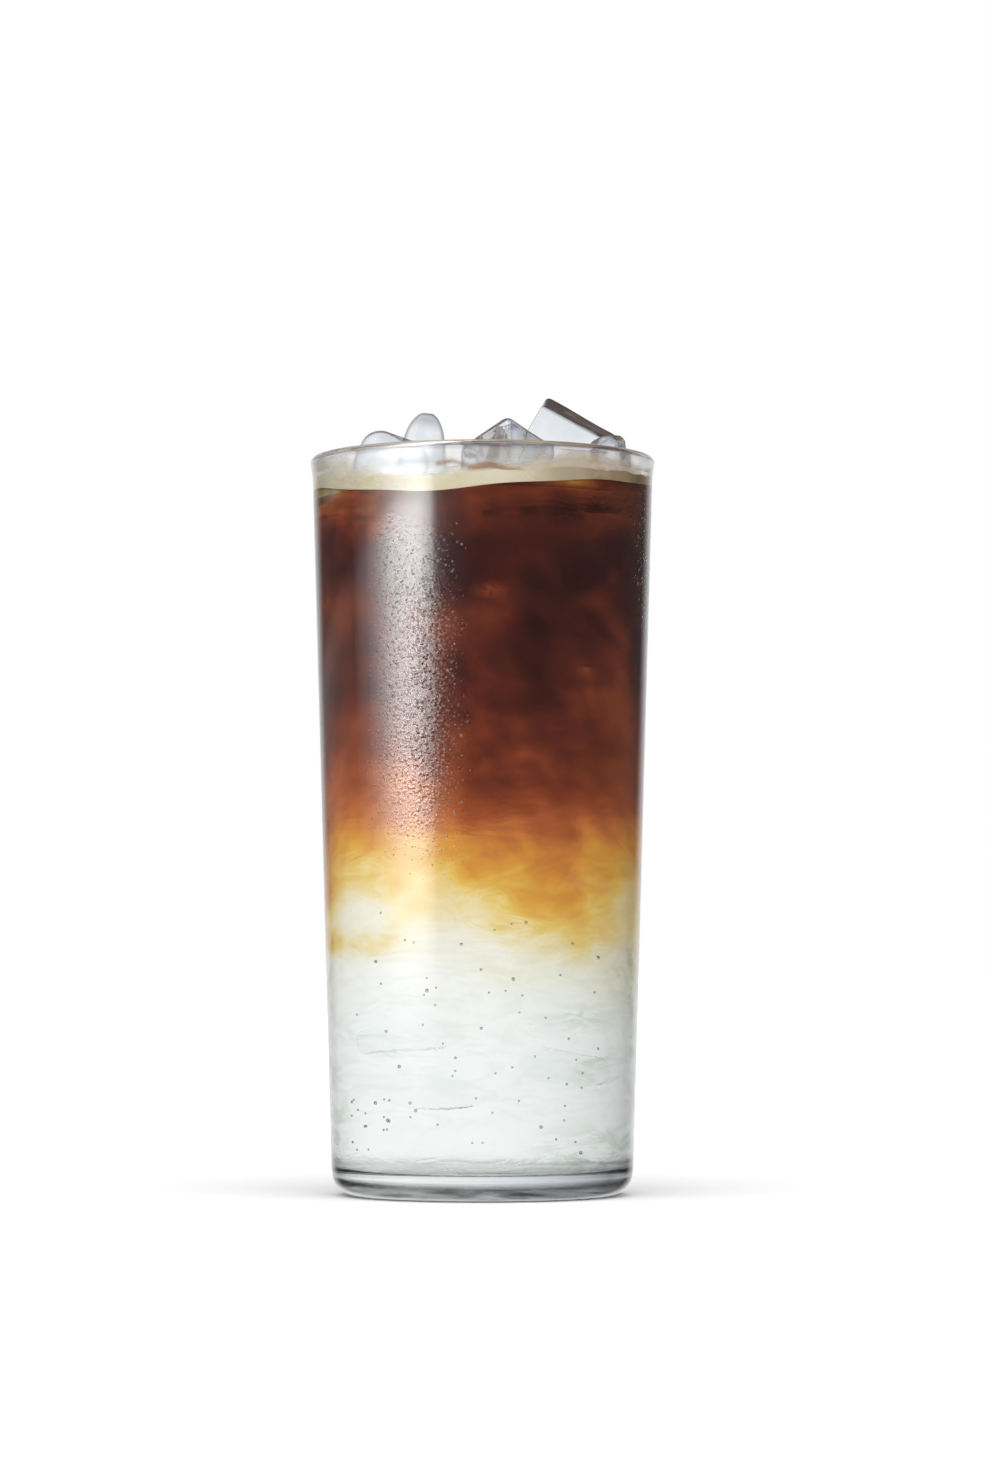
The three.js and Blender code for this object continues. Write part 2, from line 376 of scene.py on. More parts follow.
def split_at(piece, height):
    """Parts a cube at the waterline into two closed halves, the lower one with the second material."""
    halves = []
    for lower in (False, True):
        half = bmesh.new()
        half.from_mesh(piece.data)
        level = (0, 0, height - 0.02 * mm * lower)
        every = [*half.verts, *half.edges, *half.faces]
        bmesh.ops.bisect_plane(half, geom=every, plane_co=level, plane_no=(0, 0, 1),
                               clear_inner=not lower, clear_outer=lower)
        rim = [edge for edge in half.edges if edge.is_boundary]
        bmesh.ops.edgeloop_fill(half, edges=rim)
        bmesh.ops.recalc_face_normals(half, faces=half.faces)
        for face in half.faces:
            face.material_index = int(lower)
        halves.append(half)
    below = bpy.data.meshes.new("lower_half")
    halves[1].to_mesh(below)
    halves[0].from_mesh(below)
    halves[0].to_mesh(piece.data)
    bpy.data.meshes.remove(below)
    for half in halves:
        half.free()
    piece.data.shade_smooth()
    piece.data.set_sharp_from_angle(angle=math.radians(60))


def own_place(points, at, turn):
    """Points in mm as seen from a cube, with its middle as origin and its edges as axes."""
    return (points - np.array(at)) @ np.array(Euler(np.radians(turn), "ZYX").to_matrix())


# How much coffee film each cube keeps on its top face, and how dark its edges are painted in the same
# brown: painted shade for the dark rims of the ice.
coffee_films_and_edge_shade = {
    "ice_left": (0.0, 0.25), "ice_dome": (0.35, 0.6), "ice_front": (0.0, 0.1),
    "ice_tall": (1.0, 0.1), "ice_shard": (0.5, 0.4), "ice_back": (0.1, 0.2),
}
waterline = drowned.copy()
waterline.name = "ice_at_waterline"
waterline.node_tree.nodes["Principled BSDF"].inputs["IOR"].default_value = 1.001
for node, cube in standing.items():
    piece = mesh_of(node + "_melted", [melted_cube(*cube)])
    piece.data.materials.append(ice)
    piece.data.materials.append(waterline)
    split_at(piece, WATERLINE)
    points = points_of(piece) / mm
    size, at, turn = cube[:3]
    own = own_place(points, at, turn) / np.array(size) * 2
    on_top, edge_shade_share = coffee_films_and_edge_shade[node]
    top_film = on_top * np.clip((own[:, 2] - 0.93) / 0.05, 0, 1)
    # Painted shade: the edges are darkened in the film's brown.
    painted_edge_shade = edge_shade_share * np.clip((np.sort(np.abs(own), axis=1)[:, 1] - 0.7) / 0.25, 0, 1)
    splashes = 0.3 * np.clip((153 - points[:, 2]) / 3, 0, 1)
    mark(piece, "stain_and_edge_shade", np.maximum(np.maximum(top_film, painted_edge_shade), splashes))
    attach(piece, "root")
    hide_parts(node)


# Sunk ice: the cubes that hold the others up, wholly under the coffee and the tonic water.
# Ice bends light almost as the drink does, so only their edges and the thinner coffee show them.
sunk = [
    ((15, 14, 18), (-21.3, -7.0, 122.5), (32, -14, 31), 3.0),
    ((16, 14, 16), (19.0, -11.0, 124.5), (-32, 12, -31), 2.6),
    ((17, 14, 17), (-2.0, -19.0, 119.0), (37, 16, 28), 2.8),
    ((17, 16, 17), (-10.5, 16.5, 121.0), (-23, 18, 33), 2.4),
    ((17, 16, 18), (14.0, 15.0, 119.0), (30, 0, 37), 2.6),
    ((15, 14, 17), (-17.5, -9.5, 93.0), (-30, 16, -33), 3.2),
    ((13, 12, 25), (19.6, -9.5, 99.0), (28, -4, 40), 2.4),
    ((17, 16, 17), (0.5, 10.0, 97.0), (40, 16, 33), 2.4),
    ((16, 14, 16), (7.0, -13.0, 73.0), (38, 28, 29), 2.2),
    ((27, 13, 7.6), (-11.0, -12.5, 22.6), (2, 3, -12), 3.7),
    ((20, 11, 5), (-14.0, -14.0, 33.5), (4, -6, -24), 2.4),
    ((17, 11, 6), (15.5, -14.5, 27.5), (-5, 8, 28), 2.8),
    ((17, 16, 17), (13.0, 11.0, 45.0), (12, 16, 24), 4.0),
]
COFFEE_FLOOR = 60  # in mm as the list is, and the cubes above it lie in the coffee
in_coffee = [cube for cube in sunk if cube[1][2] > COFFEE_FLOOR]
in_tonic = [cube for cube in sunk if cube[1][2] < COFFEE_FLOOR]
sunk_ice = mesh_of("ice_in_coffee", [melted_cube(*cube) for cube in in_coffee])
sunk_ice.data.materials.append(drowned)
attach(sunk_ice, "root")
faint = drowned.copy()
faint.name = "ice_under_water"
faint.node_tree.nodes["Principled BSDF"].inputs["IOR"].default_value = 1.006
sunk_ice = mesh_of("ice_in_tonic", [melted_cube(*cube) for cube in in_tonic])


def worn_thin(x, y, z):
    """The flat cube near the floor has worn to a lens that is thin towards both ends."""
    thin = 1 - 0.8 * np.clip((x + 11 * mm) / (14 * mm), -1, 1) ** 2
    middle = 22.6 * mm - 0.1 * (x + 11 * mm)
    return x, y, np.where((z < 29 * mm) & (x < 5 * mm), middle + (z - middle) * thin, z)


reshape(sunk_ice, worn_thin)
sunk_ice.data.materials.append(faint)
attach(sunk_ice, "root")


# The drink: coffee poured over tonic water, one body of liquid that fills the tumbler to its wall.
# It is darkest under the crema and thins through amber and gold to clear water, billowing as it sinks.
REACH = 0.12 * mm
COFFEE_TOP = 147.4 * mm
SIDE_RISE = 2.8 * mm
DRINK_SIDES = 288
DRINK_ROWS = 290
FULL = 3.2


def swell(x, y):
    """How far the coffee's surface stands above its level at the front, in metres."""
    side = (x / wall_inside(COFFEE_TOP)) ** 2
    sway = 1.1 * mm * np.sin(83 * x)
    return SIDE_RISE * side + sway + 0.3 * mm * np.sin(210 * x + 0.9) * np.cos(170 * y)


def billow(x, y):
    """How far the coffee hangs above or below its mean depth, in mm, at a place in mm."""
    rolls = 1.6 * np.sin(0.11 * x + 0.05 * y + 0.6) + 1.4 * np.cos(0.13 * y - 0.06 * x)
    across = [-34, -30, -25, -17, -11, -5, 0, 8, 16, 24, 30, 34]
    lean = np.interp(x, across, [1.5, 3.5, 7, 8.5, 7.5, 3.5, 0.5, -3.5, -5, -4.5, -1.5, 1])
    return rolls + np.where(y < 0, 1, 0.6) * lean


def eddies(points, size, seed):
    """A soft random field from about -1 to 1, with swirls of a given size, at points in mm."""
    draw = np.random.default_rng(seed)
    total = np.zeros(len(points))
    for _ in range(7):
        way = draw.normal(size=3)
        way *= 2 * math.pi / size * draw.uniform(0.6, 1.5) / np.linalg.norm(way)
        total += np.sin(points @ way + draw.uniform(0, 2 * math.pi))
    return total / 3


def inside_ice(points, size, at, turn, melt, taper=0.0):
    """1 inside a cube and 0 outside it, with a soft edge, at points in mm."""
    own = own_place(points, at, turn)
    own[:, 0] /= 1 - taper * np.clip(2 * own[:, 2] / size[2], -1, 1)
    own = np.abs(own) - (np.array(size) / 2 - melt)
    depth = np.linalg.norm(np.maximum(own, 0), axis=1) + np.minimum(own.max(axis=1), 0) - melt
    return np.clip(0.5 - depth / 1.6, 0, 1)


def spot(x, z, at_x, at_z, wide, tall):
    """1 in the middle of a soft round spot on the wall and 0 far from it."""
    return np.exp(-((x - at_x) / wide) ** 2 - ((z - at_z) / tall) ** 2)


def coffee_seen(points):
    """How much coffee is seen through each place on the wall, less where ice lies close behind it."""
    x, y, z = points.T
    swirl = 3.4 * eddies(points, 26, 3) + 1.6 * eddies(points, 10, 8)
    hang = billow(x, y) * np.interp(z, [74, 96], [1, 0.25])
    level = z - hang - swirl * np.interp(z, [80, 120], [1, 0])
    heights = [30, 42, 52, 56, 60, 64, 68, 72, 76, 80, 85, 89, 97, 105, 126, 140, 149]
    depths = [0, 0.01, 0.05, 0.09, 0.14, 0.19, 0.28, 0.40, 0.56, 0.80,
              1.15, 1.55, 2.15, 2.5, 2.9, 2.8, 2.3]
    seen = np.interp(level, heights, depths)
    darker_right = np.interp(x, [-32, -18, 2, 20], [-0.18, -0.1, 0, 0.25])
    seen *= 1 + darker_right * np.interp(z, [102, 116, 136, 146], [0, 1, 1, 0])
    seen *= np.exp(0.22 * eddies(points, 17, 31) + 0.16 * eddies(points, 7, 5))
    for at_x, at_z, wide, tall, left in glows:
        seen *= 1 - (1 - left) * (spot(x, z, at_x, at_z, wide, tall) * ((y < 0) | (abs(at_x) > 24)))
    for at_x, at_z, wide, tall, left in glows_behind:
        seen *= 1 - (1 - left) * (spot(x, z, at_x, at_z, wide, tall) * (y > 0))
    # Steps inwards from the wall and counts how much is liquid, the nearest most.
    inward = -points * (1, 1, 0)
    inward /= np.maximum(np.linalg.norm(inward, axis=1, keepdims=True), 1e-6)
    liquid = np.zeros(len(points))
    whole = 0.0
    for step in np.arange(0.8, 34, 2.2):
        weight = math.exp(-step / 9)
        whole += weight
        probe = points + inward * step
        ice_here = np.zeros(len(points))
        for cube in [*standing.values(), *sunk]:
            near = np.abs(points[:, 2] - cube[1][2]) < 22
            ice_here[near] = np.maximum(ice_here[near], inside_ice(probe[near], *cube))
        liquid += weight * (1 - ice_here)
    under_foam = (z > 140) & (np.hypot(x, y) < 0.985 * wall_inside(z * mm) / mm)
    return np.where(under_foam, FULL, seen * (0.25 + 0.75 * liquid / whole))


# Places where the coffee is thin and glows, beside ice, at froth and round bubbles, or is denser.
# Each is x, z, half width and half height in mm, and the share of the colour left, over 1 if denser.
glows = [
    (-31.0, 147.6, 7.0, 4.8, 0.01), (18.5, 148.8, 6.0, 1.5, 0.08), (28.0, 145.5, 4.5, 4.0, 0.3),
    (-24.7, 126.0, 3.0, 4.5, 0.55), (-25.5, 99.0, 4.5, 4.5, 0.58), (-24.9, 88.6, 3.0, 3.0, 0.70),
    (21.8, 124.2, 4.0, 2.5, 0.52), (1.1, 126.0, 2.8, 1.7, 0.38), (21.0, 109.8, 1.8, 1.4, 0.45),
    (8.4, 92.6, 1.6, 1.4, 0.60), (-21.6, 102.0, 1.6, 1.6, 0.60), (-6.5, 97.0, 4.5, 9.0, 0.66),
    (3.0, 135.0, 13.0, 7.0, 1.35), (20.0, 107.0, 9.0, 6.0, 0.80), (-29.0, 92.0, 4.0, 9.0, 2.1),
    (32.0, 74.0, 4.5, 14.0, 0.25), (28.0, 108.0, 5.0, 8.0, 0.75), (-6.0, 90.0, 4.0, 5.0, 0.72),
    (-32.5, 59.0, 3.0, 14.0, 3.4), (8.0, 58.0, 5.0, 4.0, 1.4), (29.0, 60.0, 6.0, 6.0, 0.70),
    (-25.0, 52.5, 6.5, 2.8, 6.0), (-16.0, 94.0, 5.0, 11.0, 0.5), (16.0, 70.0, 5.0, 4.0, 0.75),
]
glows_behind = [
    (-12.5, 145.0, 3.6, 3.8, 0.12), (12.5, 72.0, 2.8, 16.0, 0.5), (12.0, 108.0, 2.8, 8.0, 0.8),
    (12.0, 144.4, 2.8, 3.5, 0.5),
]
wall_rows = np.linspace(FLOOR + FLOOR_FILLET + 0.4 * mm, COFFEE_TOP, DRINK_ROWS)
drink_profile = inside_floor(REACH)
drink_profile += [(wall_inside(z) + REACH, z) for z in wall_rows]
drink_profile += [((wall_inside(COFFEE_TOP) + REACH) * s, COFFEE_TOP) for s in np.linspace(0.98, 0, 24)]
drink = turned("coffee_on_tonic", drink_profile, DRINK_SIDES)


def fill_to_swell(x, y, z):
    """Lifts the upper part of the drink to its swelling surface, along the wall."""
    lift = np.clip((z - 120 * mm) / (COFFEE_TOP - 120 * mm), 0, 1) ** 2
    raised = z + lift * swell(x, y)
    share = wall_inside(raised) / wall_inside(z)
    return x * share, y * share, raised


points = reshape(drink, fill_to_swell)
mark(drink, "strength", coffee_seen(points / mm) / FULL)

# Painted shade in the tonic water, greenish at the right and grey low at the left, as for the glows
# above but with the share of the colour that each one takes.
tonic_shade_spots = [
    (24, 27, 7, 4.5, 0.8), (19, 38, 9, 3, 0.55), (28, 46, 4, 7, 0.45), (-32, 14, 4, 13, 1.5),
    (26, 10, 14, 5, 1.0), (0, 7, 34, 3, 0.35), (31, 28, 2.5, 26, 0.15), (29.8, 30, 0.6, 22, 0.9),
    (29.6, 48, 0.7, 8, 0.9), (-24, 34, 7, 1.5, 0.45), (-18, 30, 9, 1.2, 0.4), (2, 44, 9, 3, 0.25),
]
x, y, z = points.T / mm
# A faint band of the same painted shade over the front, with the spots laid over it.
shade_in_tonic = 0.18 * soft_band(z, 13, 58, 12) * (y < 0)
for at_x, at_z, wide, tall, share in tonic_shade_spots:
    shade_in_tonic = np.maximum(shade_in_tonic, share * spot(x, z, at_x, at_z, wide, tall) * (y < 0))
mark(drink, "painted_shade_in_tonic", shade_in_tonic)

liquor, tree, shader = new_material("coffee_to_tonic", Transmission_Weight=1, IOR=1.333, Roughness=0,
                                    Specular_Tint=(0.2, 0.2, 0.2, 1))
seen = add(tree, "ShaderNodeAttribute", attribute_name="strength")
place = add(tree, "ShaderNodeTexCoord")
flat = add(tree, "ShaderNodeMapping", Scale=(1, 1, 2.2), Rotation=(0, math.radians(12), 0),
           Vector=place.outputs["Object"])
wisps = add(tree, "ShaderNodeTexNoise", Scale=70, Detail=6, Roughness=0.62, Distortion=1.6,
            Vector=flat.outputs["Vector"])
streak = add(tree, "ShaderNodeMapRange", From_Min=0.3, From_Max=0.7, To_Min=-0.38, To_Max=0.38,
             Value=wisps.outputs["Fac"])
calm = add(tree, "ShaderNodeMapRange", From_Min=0.12, From_Max=0.5, To_Min=1.0, To_Max=0.5,
           Value=seen.outputs["Fac"])
swirled = add(tree, "ShaderNodeMath", operation="MULTIPLY_ADD",
              at={0: streak.outputs["Result"], 1: calm.outputs["Result"], 2: 1.0})
mixed = add(tree, "ShaderNodeMath", operation="MULTIPLY",
            at={0: seen.outputs["Fac"], 1: swirled.outputs["Value"]})
shades = [
    (0.00, (0.965, 0.978, 0.975)),
    (0.05, (0.930, 0.890, 0.740)),
    (0.13, (0.880, 0.690, 0.300)),
    (0.20, (0.815, 0.520, 0.095)),
    (0.31, (0.730, 0.330, 0.050)),
    (0.57, (0.565, 0.180, 0.042)),
    (0.81, (0.440, 0.115, 0.034)),
    (1.17, (0.310, 0.068, 0.020)),
    (1.55, (0.205, 0.038, 0.013)),
    (2.25, (0.095, 0.015, 0.008)),
    (3.20, (0.028, 0.004, 0.003)),
]
tint = ramp(tree, mixed.outputs["Value"], [(depth / FULL, shade) for depth, shade in shades])
# Painted shade in the tonic water: grey-green multiplied into the tint, drawn out in streaks.
tonic_shade_value = add(tree, "ShaderNodeAttribute", attribute_name="painted_shade_in_tonic")
lying = add(tree, "ShaderNodeMapping", Scale=(1, 1, 3.2), Rotation=(0, math.radians(-7), 0),
            Vector=place.outputs["Object"])
drifts = add(tree, "ShaderNodeTexNoise", Scale=55, Detail=5, Roughness=0.55, Distortion=2.4,
             Vector=lying.outputs["Vector"])
drawn_out = add(tree, "ShaderNodeMapRange", interpolation_type="SMOOTHSTEP", From_Min=0.40, From_Max=0.66,
                To_Min=0.2, To_Max=1.7, Value=drifts.outputs["Fac"])
veil = add(tree, "ShaderNodeMath", operation="MULTIPLY",
           at={0: tonic_shade_value.outputs["Fac"], 1: drawn_out.outputs["Result"]})
tint_and_tonic_shade = add(tree, "ShaderNodeMix", data_type="RGBA", blend_type="MULTIPLY", clamp_factor=True,
              B=(0.62, 0.69, 0.60, 1), Factor=veil.outputs["Value"], A=tint.outputs["Color"])
tree.links.new(tint_and_tonic_shade.outputs["Result"], shader.inputs["Base Color"])
stirred = add(tree, "ShaderNodeBump", Strength=0.18, Distance=1 * mm, Height=wisps.outputs["Fac"])
tree.links.new(stirred.outputs["Normal"], shader.inputs["Normal"])
drink.data.materials.append(liquor)
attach(drink, "root")
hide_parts("coffee", "tonic_water")


# The crema: fine pale foam that floats on the coffee, held up by the ice and the wall.
# It is cut round the ice, a hair inside each cube, so that no gap shows between them.
CREMA_DEPTH = 2.8 * mm
CREMA_SIDES = 160


def froth(x, y):
    """How far the top of the foam stands above its level, in metres."""
    thin = 0.9 * mm * np.clip((x - 12 * mm) / (14 * mm), 0, 1)
    return swell(x, y) - thin + 0.35 * mm * np.sin(310 * x - 0.8) * np.sin(270 * y + 0.5)


crema_low = COFFEE_TOP + 0.03 * mm
crema_high = COFFEE_TOP + CREMA_DEPTH
crema_radius = wall_inside(crema_high) + REACH
shares = np.linspace(0, 1, 34)
crema_profile = [(crema_radius * s, crema_low) for s in shares]
crema_profile += [(crema_radius, z) for z in np.linspace(crema_low, crema_high, 8)[1:-1]]
crema_profile += [(crema_radius * s, crema_high) for s in shares[::-1]]
crema = turned("crema_foam", crema_profile, CREMA_SIDES)


def frothed(x, y, z):
    """Bends the crema's two faces to the coffee's surface and to its own, which is grainy."""
    up = (z - crema_low) / (crema_high - crema_low)
    grain = 0.16 * mm * eddies(np.stack([x, y, z], 1) / mm, 2.6, 21) * up
    raised = z + (1 - up) * swell(x, y) + up * froth(x, y) + grain
    share = wall_inside(raised) / wall_inside(z)
    return x * share, y * share, raised


reshape(crema, frothed)
cutters = bpy.data.collections.new("crema_cutters")
for node, cube in standing.items():
    cutter = mesh_of(node + "_cutter", [melted_cube(*cube, shrink=0.12)])
    bpy.context.scene.collection.objects.unlink(cutter)
    cutters.objects.link(cutter)
bpy.context.scene.collection.children.link(cutters)
cut = crema.modifiers.new("round_the_ice", "BOOLEAN")
cut.operation = "DIFFERENCE"
cut.operand_type = "COLLECTION"
cut.collection = cutters
cut.solver = "EXACT"
graph = bpy.context.evaluated_depsgraph_get()
cut_mesh = bpy.data.meshes.new_from_object(crema.evaluated_get(graph))
crema.modifiers.remove(cut)
crema.data = cut_mesh
for cutter in list(cutters.objects):
    bpy.data.objects.remove(cutter)
bpy.data.collections.remove(cutters)
crema.data.set_sharp_from_angle(angle=math.radians(50))
crema.data.materials.clear()

foam, tree, shader = new_material("cream_foam", Roughness=0.55)
place = add(tree, "ShaderNodeTexCoord")
mottle = add(tree, "ShaderNodeTexNoise", Scale=90, Detail=4, Vector=place.outputs["Object"])
cream = ramp(tree, mottle.outputs["Fac"], [(0.32, (0.82, 0.72, 0.48)), (0.6, (0.88, 0.81, 0.62))])
tan = ramp(tree, mottle.outputs["Fac"], [(0.35, (0.19, 0.11, 0.05)), (0.65, (0.40, 0.28, 0.15))])
across = add(tree, "ShaderNodeSeparateXYZ", Vector=place.outputs["Object"])
to_the_right = add(tree, "ShaderNodeMapRange", interpolation_type="SMOOTHSTEP", From_Min=2 * mm,
                   From_Max=30 * mm, Value=across.outputs["X"])
shade = add(tree, "ShaderNodeMix", data_type="RGBA", Factor=to_the_right.outputs["Result"],
            A=cream.outputs["Color"], B=tan.outputs["Color"])
tree.links.new(shade.outputs["Result"], shader.inputs["Base Color"])
cells = add(tree, "ShaderNodeTexVoronoi", Scale=1100, Vector=place.outputs["Object"])
pores = add(tree, "ShaderNodeBump", Strength=0.25, Distance=0.3 * mm, Height=cells.outputs["Distance"])
tree.links.new(pores.outputs["Normal"], shader.inputs["Normal"])
crema.data.materials.append(foam)
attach(crema, "root")
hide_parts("crema")


# Froth on the wall: a film of fine foam that the pouring left on the glass above the crema. It stands
# in tongues at the left and right, thins out upwards and leaves a haze up to the lip.
FROTH_SIDES = 240


def hoop(name, profile, sides):
    """A closed ring turned about the upright axis from a closed profile."""
    faces = []
    for k in range(len(profile)):
        faces += band(k * sides, (k + 1) % len(profile) * sides, sides)
    ring = piece_of(name, rings_of(profile, sides), faces)
    ring.data.shade_smooth()
    return ring


def frothy(x, y, z):
    """How much froth covers a place on the inside of the wall, from 0 to 1, in mm."""
    side = np.where(y < 0, x, -0.8 * x)
    climb = 1.7 + 3.4 * np.exp(-((side + 30) / 5) ** 2) + 3.4 * np.exp(-((side - 20) / 9) ** 2)
    climb += 0.5 * np.sin(0.7 * side) + 0.3 * np.sin(1.1 * side + 1)
    over = z - (COFFEE_TOP + CREMA_DEPTH + froth(x * mm, y * mm)) / mm
    return np.clip(1.1 - over / climb, 0, 1)


def browned(x, y, z):
    """How brown coffee has turned the froth, from 0 to 1: to the right and in two streaks at the front."""
    brown = 0.5 * np.clip((x - 2) / 14, 0, 1)
    for start, end, thick in (((-9, 152.6), (4, 150.9), 0.6), ((-1, 152.0), (6.5, 151.0), 0.8)):
        along = np.clip((x - start[0]) / (end[0] - start[0]), 0, 1)
        middle = start[1] + (end[1] - start[1]) * along + 0.35 * np.sin(0.8 * x)
        outside = np.maximum(start[0] - x, 0) + np.maximum(x - end[0], 0)
        brown = np.maximum(brown, np.exp(-((z - middle) / thick) ** 2 - (outside / 1.5) ** 2) * (y < 0))
    return brown


FILM_NEAR = 0.02 * mm  # the film's two faces, in from the wall
FILM_FAR = 0.22 * mm
rows = np.linspace(147.6 * mm, 155.6 * mm, 30)
film_profile = [(wall_inside(z) - FILM_NEAR, z) for z in rows]
film_profile += [(wall_inside(z) - FILM_FAR, z) for z in rows[::-1]]
froth_on_wall = hoop("froth_on_wall", film_profile, FROTH_SIDES)
points = points_of(froth_on_wall) / mm
brown = browned(*points.T)
streaked = 0.8 * brown * (np.abs(points[:, 0]) < 9)
mark(froth_on_wall, "froth", np.maximum(frothy(*points.T), streaked))
mark(froth_on_wall, "brown", brown)
froth_film, tree, shader = new_material("froth_film", Roughness=0.5)
place = add(tree, "ShaderNodeTexCoord")
streaks = add(tree, "ShaderNodeTexNoise", Scale=160, Detail=4, Distortion=0.8,
              Vector=place.outputs["Object"])
cover = add(tree, "ShaderNodeAttribute", attribute_name="froth")
uneven = add(tree, "ShaderNodeMapRange", From_Min=0.3, From_Max=0.7, To_Min=0.55, To_Max=1.1,
             Value=streaks.outputs["Fac"])
hazy = add(tree, "ShaderNodeMapRange", To_Min=0.14, To_Max=0.85, Value=cover.outputs["Fac"])
veil = add(tree, "ShaderNodeMath", operation="MULTIPLY", use_clamp=True,
           at={0: hazy.outputs["Result"], 1: uneven.outputs["Result"]})
tree.links.new(veil.outputs["Value"], shader.inputs["Alpha"])
creamy = ramp(tree, cover.outputs["Fac"],
              [(0.0, (0.78, 0.77, 0.74)), (0.5, (0.84, 0.79, 0.65)), (1.0, (0.88, 0.81, 0.62))])
browning = add(tree, "ShaderNodeAttribute", attribute_name="brown")
coffee_brown = add(tree, "ShaderNodeMix", data_type="RGBA", B=(0.40, 0.21, 0.085, 1),
                   Factor=browning.outputs["Fac"], A=creamy.outputs["Color"])
tree.links.new(coffee_brown.outputs["Result"], shader.inputs["Base Color"])
froth_on_wall.data.materials.append(froth_film)
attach(froth_on_wall, "root")


# Condensation: beads of water on the cold wall, thickest at the front left beside the strip of light,
# fewer along the right side and behind. They lie flat on the wall, many small ones and a few large.
PATCH_SIDES = 180


def bead_tree():
    """Geometry nodes that scatter flattened beads over a surface, denser where its wet value is high."""
    tree = bpy.data.node_groups.new("beads_on_a_surface", "GeometryNodeTree")
    tree.interface.new_socket("Surface", in_out="INPUT", socket_type="NodeSocketGeometry")
    for name in ("Per Square Metre", "Smallest", "Largest", "Flatness", "Nearest", "Farthest"):
        tree.interface.new_socket(name, in_out="INPUT", socket_type="NodeSocketFloat")
    tree.interface.new_socket("Seed", in_out="INPUT", socket_type="NodeSocketInt")
    tree.interface.new_socket("Material", in_out="INPUT", socket_type="NodeSocketMaterial")
    tree.interface.new_socket("Beads", in_out="OUTPUT", socket_type="NodeSocketGeometry")
    given = add(tree, "NodeGroupInput").outputs
    wet = add(tree, "GeometryNodeInputNamedAttribute", data_type="FLOAT", Name="wet")
    density = add(tree, "ShaderNodeMath", operation="MULTIPLY",
                  at={0: wet.outputs["Attribute"], 1: given["Per Square Metre"]})
    scatter = add(tree, "GeometryNodeDistributePointsOnFaces", Mesh=given["Surface"],
                  Density=density.outputs["Value"], Seed=given["Seed"])
    chance = add(tree, "FunctionNodeRandomValue", data_type="FLOAT", Seed=given["Seed"])
    few_large = add(tree, "ShaderNodeMath", operation="POWER", at={0: chance.outputs[1], 1: 3})
    size = add(tree, "ShaderNodeMapRange", Value=few_large.outputs["Value"], To_Min=given["Smallest"],
               To_Max=given["Largest"])
    height = add(tree, "ShaderNodeMath", operation="MULTIPLY",
                 at={0: size.outputs["Result"], 1: given["Flatness"]})
    shape = add(tree, "ShaderNodeCombineXYZ", X=size.outputs["Result"], Y=size.outputs["Result"],
                Z=height.outputs["Value"])
    away = add(tree, "FunctionNodeRandomValue", data_type="FLOAT",
               at={2: given["Nearest"], 3: given["Farthest"]})
    half_height = add(tree, "ShaderNodeMath", operation="MULTIPLY_ADD",
                      at={0: height.outputs["Value"], 1: 0.5, 2: away.outputs[1]})
    offset = add(tree, "ShaderNodeVectorMath", operation="SCALE", Vector=scatter.outputs["Normal"],
                 Scale=half_height.outputs["Value"])
    moved = add(tree, "GeometryNodeSetPosition", Geometry=scatter.outputs["Points"],
                Offset=offset.outputs["Vector"])
    ball = add(tree, "GeometryNodeMeshUVSphere", Segments=6, Rings=4, Radius=0.5)
    put = add(tree, "GeometryNodeInstanceOnPoints", Points=moved.outputs["Geometry"],
              Instance=ball.outputs["Mesh"], Rotation=scatter.outputs["Rotation"],
              Scale=shape.outputs["Vector"])
    real = add(tree, "GeometryNodeRealizeInstances", Geometry=put.outputs["Instances"])
    smooth = add(tree, "GeometryNodeSetShadeSmooth", Geometry=real.outputs["Geometry"])
    coat = add(tree, "GeometryNodeSetMaterial", Geometry=smooth.outputs["Geometry"],
               Material=given["Material"])
    tree.links.new(coat.outputs["Geometry"], add(tree, "NodeGroupOutput").inputs["Beads"])
    return tree


scattered_beads = bead_tree()


def wall_patch(name, radius, heights, wetness, inwards=False):
    """A bare sleeve on the wall, with a wet value at each point from a function of x, y and z in mm."""
    faces = []
    for k in range(len(heights) - 1):
        faces += band(k * PATCH_SIDES, (k + 1) * PATCH_SIDES, PATCH_SIDES)
    if inwards:
        faces = [face[::-1] for face in faces]
    points = rings_of([(radius(z), z) for z in heights], PATCH_SIDES)
    patch = piece_of(name, points, faces)
    mark(patch, "wet", np.clip(wetness(*(np.array(points).T / mm)), 0, 1))
    return patch


def bead_over(piece, material, **values):
    """Turns a surface into the beads scattered over it."""
    scatter = piece.modifiers.new("beads", "NODES")
    scatter.node_group = scattered_beads
    values["Material"] = material
    for socket in scattered_beads.interface.items_tree:
        name = socket.name.replace(" ", "_")
        if name in values:
            scatter[socket.identifier] = values[name]
    beads = bpy.data.meshes.new_from_object(piece.evaluated_get(bpy.context.evaluated_depsgraph_get()))
    piece.modifiers.remove(scatter)
    piece.data = beads
    return piece


